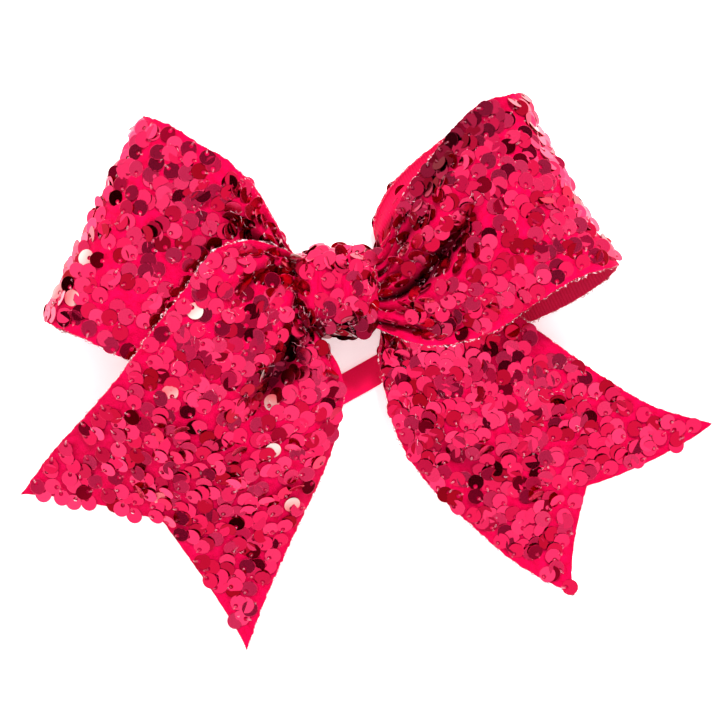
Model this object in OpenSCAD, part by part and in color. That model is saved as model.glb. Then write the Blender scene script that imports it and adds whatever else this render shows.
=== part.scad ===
// Cheer hair bow, lying on its back. X is across the bow, Y up the bow, Z out of the front.
// One ribbon strip is folded into two loops and two tails, cinched at the centre and
// wrapped by a knot, with a flat elastic hair tie through the back of the knot.

/* [Strip] */
// Thickness of the sequin face cloth
face_t = 0.8; // [0.6:0.1:0.9]
// Thickness of the fusible bonding web
web_t = 0.1; // [0.08:0.01:0.15]
// Thickness of the grosgrain lining
lining_t = 0.5; // [0.3:0.1:0.6]
// Gap kept between bonded layers
layer_gap = 0.05; // [0.04:0.01:0.08]

/* [Shape] */
// Rise of the loops' middle above the line between their edges
loop_crown = 2.4; // [0:0.2:3]
// Rise of the tails' middle above the line between their edges
tail_crown = 5; // [3:0.5:6]
// Depth of the gathers where the strip enters the knot
gather_depth = 1.2; // [0.4:0.1:1.4]
// Number of gathers across the strip
gathers = 3; // [2:1:3]
// How far the swallow-tail notch cuts into a tail, as a share of its length
notch = 0.175; // [0.05:0.01:0.2]

/* [Knot] */
// Width of the knot wrap along X
knot_w = 24; // [22:0.5:24]
// Height of the knot wrap along Y
knot_h = 26; // [26:0.5:27]
// Depth of the knot wrap along Z
knot_d = 27.4; // [27.4:0.1:29]
// Swell of the knot wrap at its middle
knot_swell = 1.2; // [0:0.1:2]

/* [Binding strap] */
// Width of the binding strap
strap_w = 2.6; // [2:0.1:4]
// Thickness of the binding strap
strap_t = 1.1; // [0.8:0.1:1.2]

/* [Hair tie] */
// Width of the elastic band
band_w = 8.5; // [6:0.5:9]
// Thickness of the elastic band
band_t = 1.2; // [1:0.1:1.2]

/* [Hidden] */
eps = 0.001;

// Offsets of each layer from the middle of the strip, face side positive
face_side = [web_t / 2 + layer_gap, web_t / 2 + layer_gap + face_t];
web_side = [-web_t / 2, web_t / 2];
lining_side = [-web_t / 2 - layer_gap - lining_t, -web_t / 2 - layer_gap];
strip_t = face_side[1] - lining_side[0];

// Lapped end of the wrap and its glue, at the back of the knot
lap_w = 18;
lap_h = 11;
lap_t = 0.6;
glue_t = 0.2;

// Knot: left edge, centre height and the levels of the three crossings inside it
knot_x = -20.6;
knot_y = 24.7;
knot_back = lap_t + glue_t + 2 * eps;
knot_z = knot_back + knot_d / 2;
crossing_w = 18;
rear_z = 8.4;
middle_z = 14.8;
front_z = 21.2;

// Edges of each span of the strip, from one end to the other
left_loop_upper = [
    [-22.4, 34, 8.4], [-28, 46, 7.4], [-36, 59, 5.5], [-47.4, 66, 3.6], [-57.4, 72.6, 3.2], [-64.4, 76, 6],
    [-66.8, 77, 15], [-64, 76, 25], [-57.4, 73.2, 30.5], [-48.6, 67.4, 32], [-40.4, 62.4, 30],
    [-31, 50, 24], [-22.4, 35.5, 15.2]
];
left_loop_lower = [
    [-22.4, 15.5, 8.4], [-30, 8, 7], [-46, 2, 5], [-62, 2, 3.8], [-78, 8, 3.2], [-92, 13, 6],
    [-96, 16.2, 14], [-93.8, 14.6, 24], [-84, 10.5, 29], [-69, 3.5, 29], [-53, 0, 25.5],
    [-35, 4, 19.5], [-22.4, 14.5, 14.4]
];
right_loop_upper = [
    [5.6, 34, 8.4], [4.6, 46, 7.6], [8.5, 58, 6.2], [21, 69.5, 4], [34, 78.5, 3.2], [42.8, 83.1, 6],
    [46, 83.8, 15], [43, 83.1, 26], [34.5, 80.6, 31.5], [26, 73, 33.5], [17.5, 62.5, 32],
    [10, 52, 28], [5.6, 36.5, 21.4]
];
right_loop_lower = [
    [5.6, 15.5, 8.4], [16, 8.5, 7], [32, 8.5, 5.2], [47, 14.5, 4], [62, 21.5, 3.2], [72.6, 28.6, 6],
    [75.4, 32.4, 15], [72.8, 31.6, 26], [62.5, 28.5, 31], [50, 21, 32], [37, 12.5, 30],
    [20, 8.6, 25.5], [5.6, 13.8, 21]
];
left_tail_outer = [
    [-23.4, 35.4, 21.4], [-30, 38, 25], [-37.5, 38.8, 30.4], [-45.5, 36, 34.6], [-54, 24.5, 36.4],
    [-63, 13, 36], [-71.4, 1.6, 33], [-82, -10.5, 24], [-94.2, -23.2, 12], [-105, -37, 3]
];
left_tail_inner = [
    [-23.4, 14.2, 20.4], [-23.6, 8, 20], [-19.6, 2, 19.4], [-11.4, -5, 18], [-9.5, -18, 15],
    [-14, -31, 11], [-19.5, -43, 7.5], [-25, -55, 4.5], [-31, -69, 2.5], [-36.5, -84.2, 1.5]
];
right_tail_upper = [
    [5.6, 33, 14.8], [17, 33, 14], [30, 29, 13], [44, 18.5, 12], [59, 7.5, 11], [72, -1.5, 9.5],
    [87, -10, 6.5], [105, -15.2, 2.5]
];
right_tail_lower = [
    [5.6, 15.5, 14.8], [5, 5, 13], [6.8, -8, 11.5], [10, -20, 10], [18.5, -33, 9], [31.2, -45.2, 8],
    [45.4, -57.4, 6.5], [63.5, -67.5, 4]
];

// Route of the hair tie outside the knot, from its right mouth round to its left mouth
tie_route = [
    [4.8, 24.7, 3.5], [9, 24.6, 3.3], [17, 22.5, 2.4], [20.5, 17, 1.2], [16.5, 9, 0.8], [8.3, 4, 0.8],
    [0.3, -0.6, 0.8], [-8, -5.2, 0.8], [-17, -9.9, 0.8], [-27, -10, 0.8], [-35.5, -5, 0.8], [-38.5, 5, 0.8],
    [-37, 15, 1.2], [-32, 22, 2.4], [-25.5, 24.6, 3.3], [-21.9, 24.7, 3.5]
];

// Smooth curve through a list of points, u from 0 to 1 along it
function step_past(list, i) =
    i < 0 ? 2 * list[0] - list[1] :
    i >= len(list) ? 2 * list[len(list) - 1] - list[len(list) - 2] : list[i];
function smooth(a, b, c, d, t) =
    b + (c - a) * t / 2 + (2 * a - 5 * b + 4 * c - d) * t * t / 2 + (3 * b - a - 3 * c + d) * t * t * t / 2;
function along(list, u) =
    let (n = len(list) - 1, i = min(floor(u * n), n - 1))
    smooth(step_past(list, i - 1), list[i], list[i + 1], step_past(list, i + 2), u * n - i);

function unit(v) = v / max(norm(v), eps);

// Outward direction of the strip at u, square to its run and to its width
function outward(edge_a, edge_b, u) =
    let (
        u0 = max(u - 0.01, 0),
        u1 = min(u + 0.01, 1),
        run = along(edge_a, u1) + along(edge_b, u1) - along(edge_a, u0) - along(edge_b, u0)
    )
    unit(cross(run, along(edge_b, u) - along(edge_a, u)));

// One point of a gathered, crowned strip between two edges
function strip_point(edge_a, edge_b, u, v, crown, gather) =
    let (lift = crown * 4 * v * (1 - v) + gather * cos(360 * gathers * v))
    along(edge_a, u) * (1 - v) + along(edge_b, u) * v + outward(edge_a, edge_b, u) * lift;

function fade(x, reach) = pow(max(1 - x / reach, 0), 2);

// Surface direction at a grid point, from its neighbours
function grid_normal(grid, i, j) =
    let (
        rows = len(grid) - 1,
        cols = len(grid[0]) - 1,
        run = grid[min(i + 1, rows)][j] - grid[max(i - 1, 0)][j],
        width = grid[i][min(j + 1, cols)] - grid[i][max(j - 1, 0)]
    )
    unit(cross(run, width));

function offset_grid(grid, d) =
    [for (i = [0:len(grid) - 1]) [for (j = [0:len(grid[0]) - 1]) grid[i][j] + grid_normal(grid, i, j) * d]];

// Closed sheet between two offsets of a grid
module sheet(grid, side) {
    rows = len(grid);
    cols = len(grid[0]);
    count = rows * cols;
    low = [for (row = offset_grid(grid, side[0])) each row];
    high = [for (row = offset_grid(grid, side[1])) each row];
    rim = concat(
        [for (j = [0:cols - 1]) j],
        [for (i = [1:rows - 1]) i * cols + cols - 1],
        [for (j = [cols - 2:-1:0]) (rows - 1) * cols + j],
        [for (i = [rows - 2:-1:1]) i * cols]
    );
    faces = concat(
        [for (i = [0:rows - 2], j = [0:cols - 2], f = quad(i, j, cols)) [f[2], f[1], f[0]]],
        [for (i = [0:rows - 2], j = [0:cols - 2], f = quad(i, j, cols)) [for (p = f) p + count]],
        [for (k = [0:len(rim) - 1])
            let (a = rim[k], b = rim[(k + 1) % len(rim)]) each [[a + count, a, b], [b + count, a + count, b]]]
    );
    polyhedron(concat(low, high), faces);
}
function quad(i, j, cols) =
    let (a = i * cols + j) [[a, a + 1, a + cols + 1], [a, a + cols + 1, a + cols]];

// Grids of the spans: rows along the strip, columns across it
loop_rows = 26;
loop_cols = 8;
tail_rows = 15;
tail_cols = 8;
loop_reach = 0.16;
tail_reach = 0.3;
tail_gather = 0.6;

function loop_grid(edge_a, edge_b) =
    [for (i = [0:loop_rows]) let (u = i / loop_rows)
        [for (j = [0:loop_cols])
            strip_point(edge_a, edge_b, u, j / loop_cols, loop_crown * pow(sin(360 * u), 2),
                gather_depth * (fade(u, loop_reach) + fade(1 - u, loop_reach)))]];

// The free end stops short at the middle, which makes the swallow-tail notch
function tail_grid(edge_a, edge_b) =
    [for (i = [0:tail_rows])
        [for (j = [0:tail_cols])
            let (v = j / tail_cols, u = i / tail_rows * (1 - notch * (1 - abs(2 * v - 1))))
            strip_point(edge_a, edge_b, u, v, tail_crown * pow(sin(180 * u), 2),
                tail_gather * gather_depth * fade(u, tail_reach))]];

left_loop_grid = loop_grid(left_loop_lower, left_loop_upper);
right_loop_grid = loop_grid(right_loop_upper, right_loop_lower);
left_tail_grid = tail_grid(left_tail_outer, left_tail_inner);
right_tail_grid = tail_grid(right_tail_lower, right_tail_upper);

module left_loop_face() { color("deeppink") sheet(left_loop_grid, face_side); }
module left_loop_web() { color("lightpink") sheet(left_loop_grid, web_side); }
module left_loop_lining() { color("crimson") sheet(left_loop_grid, lining_side); }
module right_loop_face() { color("deeppink") sheet(right_loop_grid, face_side); }
module right_loop_web() { color("lightpink") sheet(right_loop_grid, web_side); }
module right_loop_lining() { color("crimson") sheet(right_loop_grid, lining_side); }
module left_tail_face() { color("hotpink") sheet(left_tail_grid, face_side); }
module left_tail_web() { color("lightpink") sheet(left_tail_grid, web_side); }
module left_tail_lining() { color("crimson") sheet(left_tail_grid, lining_side); }
module right_tail_face() { color("hotpink") sheet(right_tail_grid, face_side); }
module right_tail_web() { color("lightpink") sheet(right_tail_grid, web_side); }
module right_tail_lining() { color("crimson") sheet(right_tail_grid, lining_side); }

// A gathered piece of the strip that crosses the knot along X at one level
crossing_cols = 18;
crossing_margin = 0.5;
function crossing_grid(z, way, crest) =
    [for (i = [0:1])
        [for (j = [0:crossing_cols])
            let (v = j / crossing_cols)
            [knot_x + crossing_margin + i * (knot_w - 2 * crossing_margin),
             knot_y + way * (v - 0.5) * crossing_w,
             z + crest * gather_depth * cos(360 * gathers * v)]]];

module front_crossing_face() { color("deeppink") sheet(crossing_grid(front_z, 1, -1), face_side); }
module front_crossing_lining() { color("crimson") sheet(crossing_grid(front_z, 1, -1), lining_side); }
module middle_crossing_face() { color("deeppink") sheet(crossing_grid(middle_z, 1, -1), face_side); }
module middle_crossing_lining() { color("crimson") sheet(crossing_grid(middle_z, 1, -1), lining_side); }
module rear_crossing_face() { color("deeppink") sheet(crossing_grid(rear_z, -1, 1), face_side); }
module rear_crossing_lining() { color("crimson") sheet(crossing_grid(rear_z, -1, 1), lining_side); }

// Knot wrap: a swollen tube around X with a rounded-box section
wrap_turns = 28;
wrap_cols = 4;
wrap_power = 0.66;
function rounded(c) = sign(c) * pow(abs(c), wrap_power);
function wrap_ring(x, shrink, first, last, steps) =
    let (
        s = (x - knot_x) / knot_w,
        swell = knot_swell * 4 * s * (1 - s),
        ry = knot_h / 2 - shrink,
        rz = knot_d / 2 - shrink
    )
    [for (k = [0:steps])
        let (a = first + (last - first) * k / steps)
        [x, knot_y + (ry + swell * 0.4) * rounded(cos(a)),
         knot_z + (rz + (sin(a) > 0 ? swell : 0)) * rounded(sin(a))]];
wrap_xs = [for (k = [0:wrap_cols]) knot_x + knot_w * k / wrap_cols];

// A closed tube between two shrinks of the wrap
module wrap_tube(outer, inner) {
    n = wrap_turns;
    rings = wrap_cols + 1;
    out_points = [for (x = wrap_xs) for (k = [0:n - 1]) wrap_ring(x, outer, 0, 360, n)[k]];
    in_points = [for (x = wrap_xs) for (k = [0:n - 1]) wrap_ring(x, inner, 0, 360, n)[k]];
    count = n * rings;
    last = (rings - 1) * n;
    faces = concat(
        [for (i = [0:rings - 2], k = [0:n - 1])
            let (a = i * n + k, b = i * n + (k + 1) % n) each [[b + n, b, a], [a + n, b + n, a]]],
        [for (i = [0:rings - 2], k = [0:n - 1])
            let (a = count + i * n + k, b = count + i * n + (k + 1) % n)
            each [[a, b, b + n], [a, b + n, a + n]]],
        [for (k = [0:n - 1])
            let (a = k, b = (k + 1) % n) each [[a + count, a, b], [b + count, a + count, b]]],
        [for (k = [0:n - 1])
            let (a = last + k, b = last + (k + 1) % n) each [[b + count, b, a], [a + count, b + count, a]]]
    );
    polyhedron(concat(out_points, in_points), faces);
}
web_in = face_t + layer_gap;
lining_in = web_in + web_t + layer_gap;
wrap_in = lining_in + lining_t;

module knot_face() { color("deeppink") wrap_tube(0, face_t); }
module knot_web() { color("lightpink") wrap_tube(web_in, web_in + web_t); }
module knot_lining() { color("crimson") wrap_tube(lining_in, wrap_in); }

// Outer end of the wrap, lapped over itself at the back and glued
module knot_glue() {
    color("ivory")
        translate([knot_x + (knot_w - lap_w) / 2 + 1, knot_y - lap_h / 2 + 1, knot_back - glue_t - eps])
        cube([lap_w - 2, lap_h - 2, glue_t]);
}
module knot_lap() {
    color("deeppink")
        translate([knot_x + (knot_w - lap_w) / 2, knot_y - lap_h / 2, knot_back - glue_t - lap_t - 2 * eps])
        cube([lap_w, lap_h, lap_t]);
}

// Strap that cinches the three crossings, with its ratchet head at the top
strap_x = knot_x + knot_w / 2;
strap_in_w = crossing_w + 1;
strap_low = rear_z - gather_depth - strip_t;
strap_high = front_z + gather_depth + strip_t;
strap_round = 1.6;
module strap_outline(grow) {
    translate([strap_low - grow, knot_y - strap_in_w / 2 - grow])
        rounded_rect(strap_high - strap_low + 2 * grow, strap_in_w + 2 * grow, strap_round + grow);
}
module rounded_rect(w, h, r) {
    union() {
        translate([r, 0]) square([w - 2 * r, h]);
        translate([0, r]) square([w, h - 2 * r]);
        for (x = [r, w - r], y = [r, h - r]) translate([x, y]) circle(r, $fn = 32);
    }
}
module strap_ring() {
    translate([strap_x + strap_w / 2, 0, 0])
        rotate([0, -90, 0])
        linear_extrude(strap_w)
        difference() {
            strap_outline(strap_t);
            strap_outline(0);
        }
}
module binding_strap() { color("white") strap_ring(); }
head_size = [4.6, 4.2, 1.6];
module binding_strap_head() {
    color("white")
        translate([strap_x + strap_w / 2 + eps, knot_y - head_size[1] / 2, strap_high - 0.4])
        cube(head_size);
}

// Flat band swept along a route, its width level and its ends square to X
function tie_side(route, u) =
    let (run = along(route, min(u + 0.01, 1)) - along(route, max(u - 0.01, 0)))
    unit([-run[1], run[0], 0]);
tie_rings = 36;
module flat_band(route, rings, width, thick) {
    sections = [for (k = [0:rings])
        let (
            u = k / rings,
            p = along(route, u),
            side = (k == 0 || k == rings) ? [0, sign(tie_side(route, u)[1]), 0] : tie_side(route, u)
        )
        [p - side * width / 2 - [0, 0, thick / 2], p + side * width / 2 - [0, 0, thick / 2],
         p + side * width / 2 + [0, 0, thick / 2], p - side * width / 2 + [0, 0, thick / 2]]];
    points = [for (s = sections) each s];
    faces = concat(
        [[0, 1, 2, 3]],
        [[for (k = [3:-1:0]) 4 * rings + k]],
        [for (r = [0:rings - 1], k = [0:3])
            let (a = 4 * r + k, b = 4 * r + (k + 1) % 4) each [[a, a + 4, b + 4], [a, b + 4, b]]]
    );
    polyhedron(points, faces);
}
module hair_tie_band() { color("deeppink") flat_band(tie_route, tie_rings, band_w, band_t); }

// Part of the band that lies inside the knot, held by the wrap
tunnel_left = 0.7;
tunnel_right = 0.8;
module hair_tie_tunnel_run() {
    color("deeppink")
        translate([knot_x - tunnel_left, knot_y - band_w / 2, tie_route[0][2] - band_t / 2])
        cube([knot_w + tunnel_left + tunnel_right, band_w, band_t]);
}

// Glued overlap where the two ends of the elastic meet
join_t = 0.5;
join_l = 8;
join_w = band_w - 1.2;
join_turn = -2;
join_at = tie_route[9];
module hair_tie_join() {
    color("mediumvioletred")
        translate([join_at[0], join_at[1], join_at[2] + band_t / 2 + eps])
        rotate(join_turn)
        translate([-join_l / 2, -join_w / 2, 0])
        cube([join_l, join_w, join_t]);
}

knot_face();
knot_web();
knot_lining();
knot_lap();
knot_glue();
binding_strap();
binding_strap_head();
front_crossing_face();
front_crossing_lining();
middle_crossing_face();
middle_crossing_lining();
rear_crossing_face();
rear_crossing_lining();
left_loop_face();
left_loop_web();
left_loop_lining();
right_loop_face();
right_loop_web();
right_loop_lining();
left_tail_face();
left_tail_web();
left_tail_lining();
right_tail_face();
right_tail_web();
right_tail_lining();
hair_tie_tunnel_run();
hair_tie_band();
hair_tie_join();
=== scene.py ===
"""Cheer hair bow of sequin-faced ribbon, lying on its back on a white table, seen from above."""
import math

import bpy
import numpy as np
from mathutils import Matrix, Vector


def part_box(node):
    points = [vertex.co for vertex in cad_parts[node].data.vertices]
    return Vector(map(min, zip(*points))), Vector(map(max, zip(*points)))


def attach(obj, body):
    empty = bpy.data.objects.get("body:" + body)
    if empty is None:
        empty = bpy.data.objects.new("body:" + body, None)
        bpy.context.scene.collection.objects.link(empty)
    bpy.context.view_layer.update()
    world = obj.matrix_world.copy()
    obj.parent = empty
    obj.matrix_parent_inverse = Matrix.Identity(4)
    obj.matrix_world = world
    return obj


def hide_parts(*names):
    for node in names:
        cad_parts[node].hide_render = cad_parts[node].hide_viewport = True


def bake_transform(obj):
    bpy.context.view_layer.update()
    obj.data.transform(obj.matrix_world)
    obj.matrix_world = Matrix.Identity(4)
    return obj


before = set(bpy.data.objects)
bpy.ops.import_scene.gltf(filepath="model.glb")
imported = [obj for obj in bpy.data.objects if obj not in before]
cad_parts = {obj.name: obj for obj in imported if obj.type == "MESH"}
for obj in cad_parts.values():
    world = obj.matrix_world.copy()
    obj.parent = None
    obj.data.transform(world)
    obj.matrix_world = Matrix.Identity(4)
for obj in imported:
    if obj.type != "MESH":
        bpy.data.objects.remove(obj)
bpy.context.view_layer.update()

MM = 0.001

# ---------------------------------------------------------------- strip geometry, in millimetres

STRIP_WIDTH = 76
TAIL_LENGTH = 110
LOOP_LENGTH = 170

# Layers of the strip, as offsets from its middle, face side positive
FACE = (0.05, 0.45)
WEB = (-0.03, 0.03)
LINING = (-0.45, -0.05)

# Knot: its left and right edges, centre height and crossing levels
KNOT_LEFT, KNOT_RIGHT = -20.6, 3.4
KNOT_Y = 24.7
REAR_Z, MIDDLE_Z, FRONT_Z = 8.4, 14.8, 21.2

# The two edges of each span. The first and last points of a loop and the first of a tail lie inside the knot.
LEFT_LOOP_UPPER = [
    (-15, 33, 8.4), (-22.4, 34, 8.4), (-28, 46, 7.4), (-36, 59, 5.5), (-47.4, 66, 3.6), (-57.4, 72.6, 3.2),
    (-64.4, 76, 6), (-66.8, 77, 15), (-64, 76, 25), (-57.4, 73.2, 30.5), (-48.6, 67.4, 32), (-40.4, 62.4, 30),
    (-31, 50, 24), (-22.4, 35.5, 15.2), (-15, 33.5, 14.8),
]
LEFT_LOOP_LOWER = [
    (-15, 16.5, 8.4), (-22.4, 15.5, 8.4), (-30, 8, 7), (-46, 2, 5), (-62, 2, 3.8), (-78, 8, 3.2),
    (-92, 13, 6), (-96, 16.2, 14), (-93.8, 14.6, 24), (-84, 10.5, 29), (-69, 3.5, 29), (-53, 0, 25.5),
    (-35, 4, 19.5), (-22.4, 14.5, 14.4), (-15, 16, 14.8),
]
RIGHT_LOOP_UPPER = [
    (-2, 33, 8.4), (5, 35, 8.4), (2.6, 46, 7.6), (8.5, 58, 6.2), (21, 69.5, 4), (34, 78.5, 3.2),
    (42.8, 83.1, 6), (46, 83.8, 15), (43, 83.1, 26), (34.5, 80.6, 31.5), (26, 73, 33.5), (17.5, 62.5, 32),
    (10, 52, 28), (5.2, 36.5, 21.8), (-2, 33.5, 21.4),
]
RIGHT_LOOP_LOWER = [
    (-2, 16.5, 8.4), (5.6, 15.5, 8.4), (16, 8.5, 7), (32, 8.5, 5.2), (47, 14.5, 4), (62, 21.5, 3.2),
    (72.6, 28.6, 6), (75.4, 32.4, 15), (72.8, 31.6, 26), (62.5, 28.5, 31), (50, 21, 32), (37, 12.5, 30),
    (20, 8.6, 25.5), (5.2, 13, 21), (-2, 16, 21.2),
]
LEFT_TAIL_OUTER = [
    (-15, 33.5, 21.2), (-23.4, 36.4, 22), (-30, 38.2, 25.4), (-37.5, 38.8, 30.4), (-45.5, 36, 34.6),
    (-54, 24.5, 36.4), (-63, 13, 36), (-71.4, 1.6, 33), (-82, -10.5, 24), (-94.2, -23.2, 12), (-105, -37, 3),
]
LEFT_TAIL_INNER = [
    (-15, 16, 21.2), (-22.4, 14.2, 20.6), (-20.6, 9.4, 20.2), (-11.5, 4.8, 19.6), (-7.6, -4.5, 18),
    (-9.5, -18, 15), (-14, -31, 11), (-19.5, -43, 7.5), (-25, -55, 4.5), (-31, -69, 2.5), (-36.5, -84.2, 1.5),
]
RIGHT_TAIL_UPPER = [
    (-2, 33, 14.8), (5.6, 33, 14.8), (17, 33, 14), (30, 29, 13), (44, 18.5, 12), (59, 7.5, 11),
    (72, -1.5, 9.5), (87, -10, 6.5), (105, -15.2, 2.5),
]
RIGHT_TAIL_LOWER = [
    (-2, 16.5, 14.8), (4.6, 13.5, 14.8), (3.6, 5, 13), (6.2, -8, 11.5), (10, -20, 10), (18.5, -33, 9),
    (31.2, -45.2, 8), (45.4, -57.4, 6.5), (63.5, -67.5, 4),
]

TIE_ROUTE = [
    (-9, 24.7, 3.5), (4.8, 24.7, 3.5), (9, 24.6, 3.3), (17, 22.5, 2.4), (20.5, 17, 1.2), (16.5, 9, 0.8),
    (8.3, 4, 0.8), (0.3, -0.6, 0.8), (-8, -5.2, 0.8), (-17, -9.9, 0.8), (-27, -10, 0.8), (-35.5, -5, 0.8),
    (-38.5, 5, 0.8), (-37, 15, 1.2), (-32, 22, 2.4), (-25.5, 24.6, 3.3), (-21.9, 24.7, 3.5), (-9, 24.7, 3.5),
]
TIE_WIDTH = 8.5
TIE_THICKNESS = 1.2
JOIN_SIZE = (8, 7.3)
JOIN_TURN = -2


def smooth_curve(points, u):
    """Points of a Catmull-Rom curve through points, for an array u from 0 to 1."""
    p = np.asarray(points, float)
    n = len(p) - 1
    p = np.vstack([2 * p[0] - p[1], p, 2 * p[-1] - p[-2]])
    x = np.clip(u, 0, 1) * n
    i = np.minimum(x.astype(int), n - 1)
    t = (x - i)[..., None]
    a, b, c, d = p[i], p[i + 1], p[i + 2], p[i + 3]
    return b + (c - a) * t / 2 + (2 * a - 5 * b + 4 * c - d) * t**2 / 2 + (3 * b - a - 3 * c + d) * t**3 / 2


def unit(v):
    """Vectors scaled to length 1."""
    return v / np.maximum(np.linalg.norm(v, axis=-1, keepdims=True), 1e-9)


def fade(x, reach):
    """1 at x = 0, falling smoothly to 0 at reach."""
    t = np.clip(1 - x / reach, 0, 1)
    return t * t * (3 - 2 * t)


def wander(x, seed, scale):
    """A smooth random wave between about -1 and 1, the same each run."""
    r = np.random.default_rng(seed)
    total = np.zeros_like(x, float)
    for k in range(5):
        total += np.sin(x * scale * (0.6 + 0.5 * k) + r.uniform(0, 6.28)) * r.uniform(0.4, 1) / (1 + 0.4 * k)
    return total / 2.2


class Span:
    """A stretch of the strip between two edge curves. u runs along it and v across it."""

    gather_height = 1.9
    gather_count = 6
    gather_reach = 0.3
    deepest_fold = 4.5

    def __init__(self, first, second, length, crown, folds, notch=0, both_ends=False,
                 cut_bend=(0.8, 0.8), seed=1):
        self.first, self.second = first, second
        self.length = length
        self.crown = crown
        self.folds = folds
        self.notch = notch
        self.cut_bend = cut_bend
        self.both_ends = both_ends
        self.crest = 0.5 if both_ends else -1
        self.seed = seed
        self.set_even_steps()

    def set_even_steps(self):
        """Tables that turn an even distance along the middle into the curves' own u."""
        u = np.linspace(0, 1, 400)
        p = self.ruled(u, np.full_like(u, 0.5))
        step = np.concatenate([[0], np.cumsum(np.linalg.norm(np.diff(p, axis=0), axis=1))])
        self.run = step[-1]
        self.table_s = step / step[-1]
        self.table_u = u

    def curve_u(self, s):
        """The curves' u at the share s of the run."""
        return np.interp(s, self.table_s, self.table_u)

    def ruled(self, u, v):
        """Points on straight lines between the two edge curves."""
        v = v[..., None]
        return smooth_curve(self.first, u) * (1 - v) + smooth_curve(self.second, u) * v

    def outward(self, u):
        """Unit vectors out of the ruled surface's face, along its middle."""
        e = 0.006
        half = np.full_like(u, 0.5)
        run = self.ruled(np.clip(u + e, 0, 1), half) - self.ruled(np.clip(u - e, 0, 1), half)
        width = smooth_curve(self.second, u) - smooth_curve(self.first, u)
        return unit(np.cross(run, width))

    def drawn_folds(self, s, v):
        """Height of the gathers at the knot and of the drawn folds."""
        ends = fade(s, self.gather_reach)
        if self.both_ends:
            ends = ends + fade(1 - s, self.gather_reach)
        turns = self.gather_count * v + 0.3 * wander(v * 10, self.seed, 0.5)
        gathers = ends * self.gather_height * np.cos(2 * np.pi * turns)
        return gathers + sum(fold(s, v) for fold in self.folds)

    def lift(self, s, v):
        """Height of the cloth's swell, folds and small waves over the ruled surface."""
        swell = self.crown(s) * 4 * v * (1 - v)
        waves = 0.35 * wander(s * self.run, self.seed + 1, 0.11) * wander(v * STRIP_WIDTH, self.seed + 2, 0.1)
        return swell + waves + self.drawn_folds(s, v)

    def depth(self, s, v):
        """How much painted shade the cloth and its sequins get: 0 on the open cloth and 1 at the bottom of a
        deep fold.
        """
        return np.clip(-self.drawn_folds(s, v) / self.deepest_fold, 0, 1)

    def point(self, s, v, offset=0.0):
        """Points at the share s of the run and v of the width, offset along the surface's normal."""
        s, v = np.broadcast_arrays(np.asarray(s, float), np.asarray(v, float))
        base = self.middle(s, v)
        if np.all(np.asarray(offset) == 0):
            return base
        return base + self.normal(s, v) * np.asarray(offset)[..., None]

    def middle(self, s, v):
        """Points halfway through the strip's thickness, with the notch drawn in at the cut end."""
        bend = np.where(v < 0.5, *self.cut_bend)
        s = s * (1 - self.notch * (1 - np.abs(2 * v - 1)) ** bend)
        u = self.curve_u(s)
        return self.ruled(u, v) + self.outward(u) * self.lift(s, v)[..., None]

    def frame_at(self, s, v):
        """Unit vectors along the strip, across it and out of its face."""
        e = 0.004
        s0, s1 = np.clip(s - e, 0, 1), np.clip(s + e, 0, 1)
        v0, v1 = np.clip(v - e, 0, 1), np.clip(v + e, 0, 1)
        along = unit(self.middle(s1, v) - self.middle(s0, v))
        across = unit(self.middle(s, v1) - self.middle(s, v0))
        out = unit(np.cross(along, across))
        return along, unit(np.cross(out, along)), out

    def normal(self, s, v):
        return self.frame_at(s, v)[2]


def rolled_edge(drop, width, start, reach):
    """The first edge bends away from the face between start and start + reach."""
    def shape(s, v):
        t = np.clip((s - start) / reach, 0, 1)
        return -drop * np.sin(np.pi * t) * fade(v, width)
    return shape


def late_crease(v_start, v_end, depth, width, start, reach):
    """A fold line that swells and dies between start and start + reach."""
    def shape(s, v):
        t = np.clip((s - start) / reach, 0, 1)
        centre = v_start + (v_end - v_start) * t
        return depth * np.sin(np.pi * t) * np.exp(-((v - centre) / width) ** 2)
    return shape


TAIL_NOTCH = 0.175


def loop_crown(s):
    """Swell of a loop's two layers."""
    return 2.4 * np.sin(2 * np.pi * s) ** 2


def dented_loop_crown(s):
    """The same, with the loop's end bowed in."""
    return loop_crown(s) - 1.6 * np.exp(-((s - 0.5) / 0.1) ** 2)


def tail_crown(s):
    """Swell of a tail between its root and its tip."""
    return 5 * np.sin(np.pi * s) ** 2


left_loop = Span(
    LEFT_LOOP_LOWER, LEFT_LOOP_UPPER, LOOP_LENGTH, loop_crown,
    [
        late_crease(0.5, 0.62, -1.2, 0.1, 0.62, 0.3),
        late_crease(0.8, 0.7, -3.5, 0.06, 0.74, 0.28),
        late_crease(0.92, 0.86, 1.8, 0.08, 0.66, 0.34),
    ], both_ends=True, seed=11)
right_loop = Span(
    RIGHT_LOOP_UPPER, RIGHT_LOOP_LOWER, LOOP_LENGTH, dented_loop_crown,
    [
        late_crease(0.36, 0.68, -6.5, 0.07, 0.70, 0.31),
        late_crease(0.2, 0.22, -3.5, 0.05, 0.78, 0.24),
        late_crease(0.5, 0.86, 2.6, 0.1, 0.66, 0.34),
        late_crease(0.8, 0.94, -3.0, 0.05, 0.78, 0.24),
        rolled_edge(5.0, 0.26, 0.55, 0.42),
    ], both_ends=True, seed=23)
left_tail = Span(
    LEFT_TAIL_OUTER, LEFT_TAIL_INNER, TAIL_LENGTH, tail_crown,
    [
        late_crease(0.68, 0.55, -7.5, 0.075, 0.02, 0.5),
        late_crease(0.92, 0.88, 2.6, 0.1, 0.08, 0.45),
        late_crease(0.28, 0.24, -2.4, 0.05, 0.02, 0.28),
        late_crease(0.5, 0.45, 1.6, 0.1, 0.05, 0.4),
    ], notch=TAIL_NOTCH, seed=37)
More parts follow.
